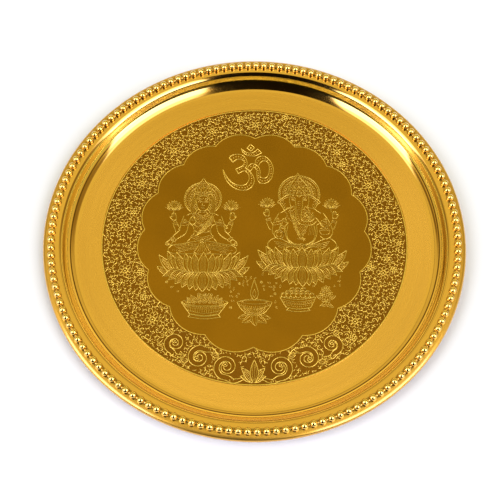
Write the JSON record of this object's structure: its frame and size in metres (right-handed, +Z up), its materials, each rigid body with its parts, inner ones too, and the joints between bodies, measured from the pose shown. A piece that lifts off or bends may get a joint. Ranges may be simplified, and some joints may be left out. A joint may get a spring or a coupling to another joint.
{
  "type": "puja thali",
  "caption": "Round shallow brass ritual plate with rolled rim, beaded border and etched centre plate in a flat floor.",
  "frame": {"origin": "on the table, under the middle of the plate", "axes": "+Z up out of the dish, +Y towards the top of the engraved scene, +X to its right"},
  "size_m": [0.254, 0.254, 0.0132],
  "materials": {
    "dish_brass": "polished walls and rim, circularly brushed floor ring, clear lacquer",
    "edge_wire": "plain drawn wire",
    "bead_brass": "polished",
    "etched_brass": "dark satin etched ground with bright raised ornament"
  },
  "bodies": {
    "root": {"dish": "dish_brass", "edge_wire": "edge_wire", "bead_wire": "bead_brass", "centre_plate": "etched_brass"}
  },
  "joints": []
}
